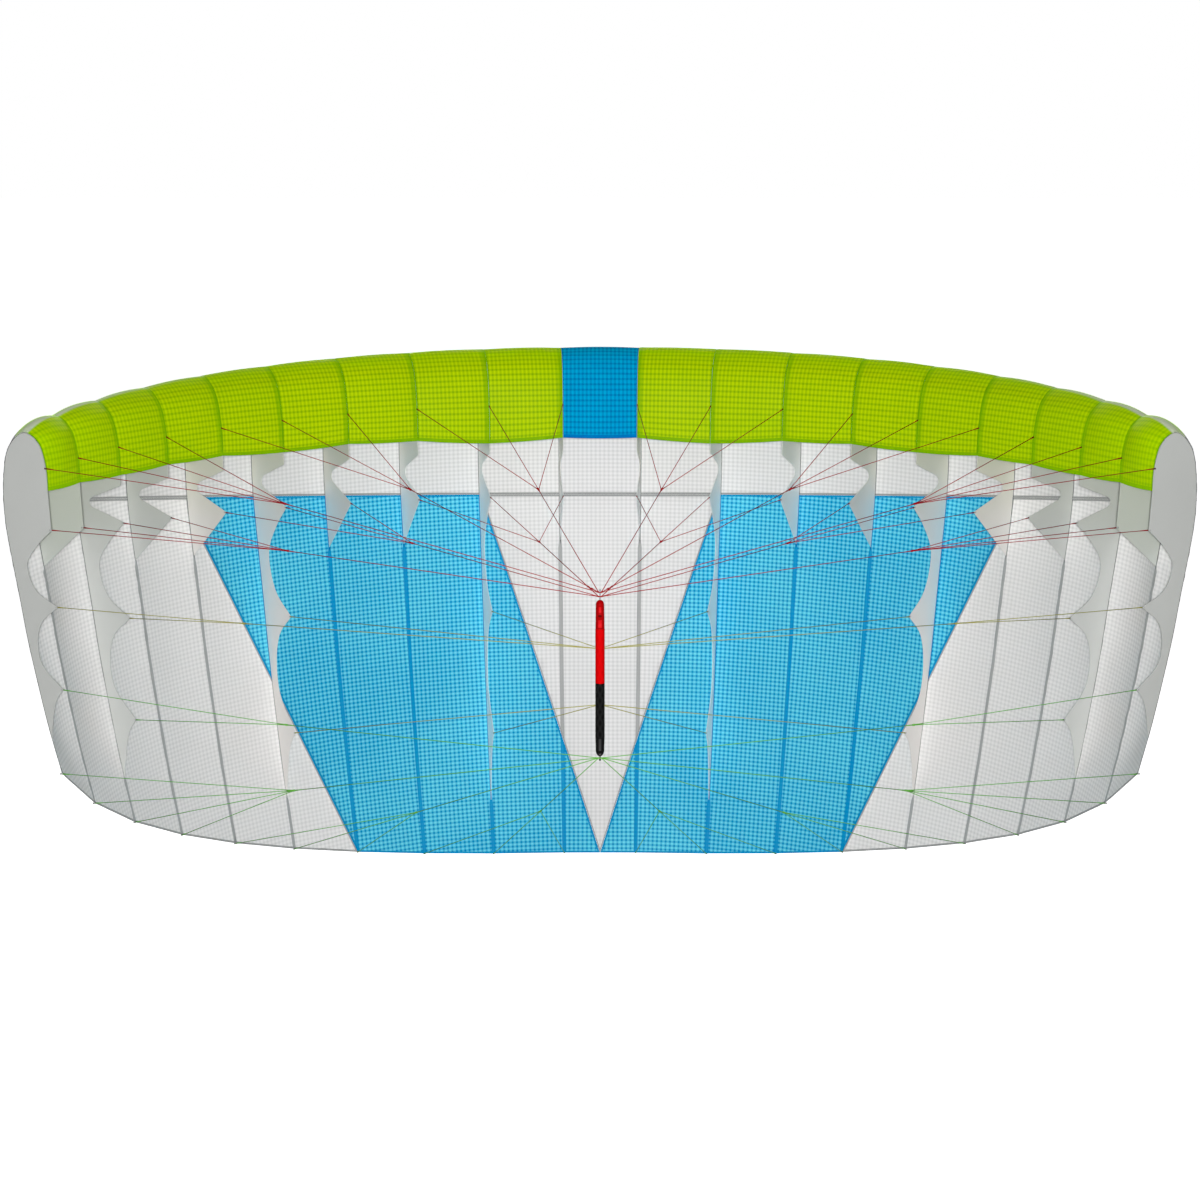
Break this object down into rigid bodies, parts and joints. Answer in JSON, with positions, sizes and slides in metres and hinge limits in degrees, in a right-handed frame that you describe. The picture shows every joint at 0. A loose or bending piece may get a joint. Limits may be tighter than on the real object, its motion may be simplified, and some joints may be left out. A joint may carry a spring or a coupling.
{
  "type": "parawing with hand bar",
  "caption": "Single-skin parawing in flight: arched canopy of ribbed cells with a rolled leading edge, bridle lines in cascades and a short hand bar.",
  "frame": {"origin": "middle of the hand bar, on its axis", "axes": "+X along the span, +Y from the bar to the canopy, +Z along the bar towards the leading edge"},
  "size_m": [3.0946, 1.754, 1.5127],
  "materials": {
    "green_cloth": "lime green coated ripstop, fine grid",
    "deep_blue_cloth": "deep blue coated ripstop, fine grid",
    "white_cloth": "white coated ripstop, fine grid, slightly sheer",
    "blue_cloth": "bright blue coated ripstop, fine grid, slightly sheer",
    "rib_cloth": "plain pale grey rib cloth, smooth",
    "red_line": "thin sheathed cord, red",
    "olive_line": "thin sheathed cord, olive",
    "green_line": "thin sheathed cord, green",
    "red_grip": "red foam grip, satin",
    "red_cap": "red moulded cap, satin",
    "black_grip": "black foam grip, satin",
    "dark_cap": "dark grey moulded cap, satin",
    "grey_cord": "grey sheathed cord"
  },
  "bodies": {
    "root": {"nose_L9": "green_cloth", "nose_L8": "green_cloth", "nose_L7": "green_cloth", "nose_L6": "green_cloth", "nose_L5": "green_cloth", "nose_L4": "green_cloth", "nose_L3": "green_cloth", "nose_L2": "green_cloth", "nose_L1": "green_cloth", "nose_C": "deep_blue_cloth", "nose_R1": "green_cloth", "nose_R2": "green_cloth", "nose_R3": "green_cloth", "nose_R4": "green_cloth", "nose_R5": "green_cloth", "nose_R6": "green_cloth", "nose_R7": "green_cloth", "nose_R8": "green_cloth", "nose_R9": "green_cloth", "skin_front": "white_cloth", "skin_centre": "white_cloth", "skin_blue_L": "blue_cloth", "skin_blue_R": "blue_cloth", "skin_outer_L": "white_cloth", "skin_outer_R": "white_cloth", "rib_L10": "rib_cloth", "rib_L9": "rib_cloth", "rib_L8": "rib_cloth", "rib_L7": "rib_cloth", "rib_L6": "rib_cloth", "rib_L5": "rib_cloth", "rib_L4": "rib_cloth", "rib_L3": "rib_cloth", "rib_L2": "rib_cloth", "rib_L1": "rib_cloth", "rib_R1": "rib_cloth", "rib_R2": "rib_cloth", "rib_R3": "rib_cloth", "rib_R4": "rib_cloth", "rib_R5": "rib_cloth", "rib_R6": "rib_cloth", "rib_R7": "rib_cloth", "rib_R8": "rib_cloth", "rib_R9": "rib_cloth", "rib_R10": "rib_cloth", "lines_A": "red_line", "lines_B": "red_line", "lines_C": "olive_line", "lines_D": "olive_line", "lines_rear": "green_line", "bar_cap_front": "red_cap", "bar_grip_front": "red_grip", "bar_grip_rear": "black_grip", "bar_cap_rear": "dark_cap", "pigtail_front": "grey_cord", "pigtail_rear": "grey_cord"}
  },
  "joints": []
}
